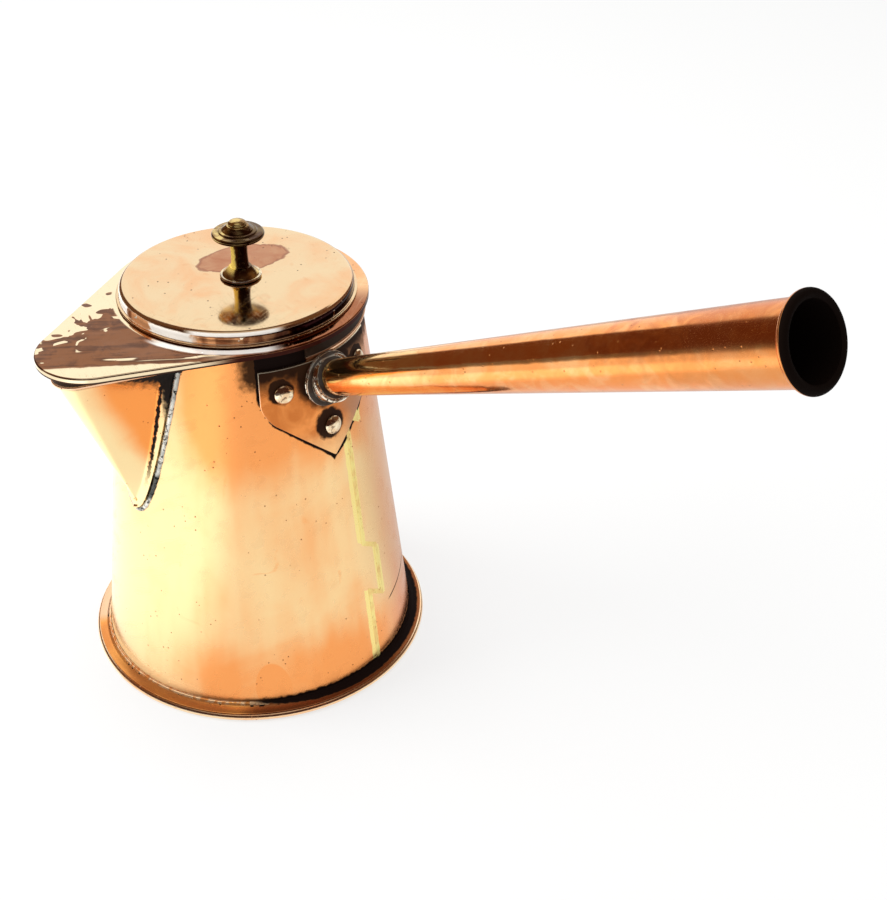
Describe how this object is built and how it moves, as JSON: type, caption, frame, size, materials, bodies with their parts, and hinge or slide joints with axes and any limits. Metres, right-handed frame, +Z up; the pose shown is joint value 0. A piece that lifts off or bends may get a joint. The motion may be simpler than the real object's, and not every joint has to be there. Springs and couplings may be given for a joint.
{
  "type": "hot water pot",
  "caption": "Tapered copper pot with a flared foot, a folded pouring spout, a long tubular handle on a riveted bracket and a lift-off lid with a knob.",
  "frame": {"origin": "on the body's axis, on the flat underside of the base", "axes": "+Z up along the body's axis, +X along the handle seen from above, the spout near -Y"},
  "size_m": [0.385, 0.1881, 0.2988],
  "materials": {
    "copper": "polished copper sheet with small pits",
    "aged_copper": "handled copper with brown patches",
    "dark_copper": "dark browned copper",
    "rivet_copper": "hammered copper rivets",
    "brass": "dull worn brass",
    "solder": "grey tin solder"
  },
  "bodies": {
    "pot": {"body_shell": "copper", "body_seam": "brass", "base_plate": "dark_copper", "foot_ring": "dark_copper", "rim_band": "aged_copper", "spout_shell": "copper", "spout_rim_band": "aged_copper", "spout_solder": "solder", "handle_bracket": "aged_copper", "bracket_rivet_left": "rivet_copper", "bracket_rivet_lower": "rivet_copper", "bracket_rivet_right": "rivet_copper", "handle_socket": "brass", "handle_tube": "aged_copper"},
    "lid": {"lid_plate": "aged_copper", "lid_drum": "aged_copper", "lid_bezel": "aged_copper", "knob": "brass", "knob_washer": "brass"}
  },
  "joints": [
    {"name": "lid_lift", "type": "slide", "parent": "pot", "child": "lid", "axis": [0, 0, 1], "range_m": [0, 0.06]}
  ]
}
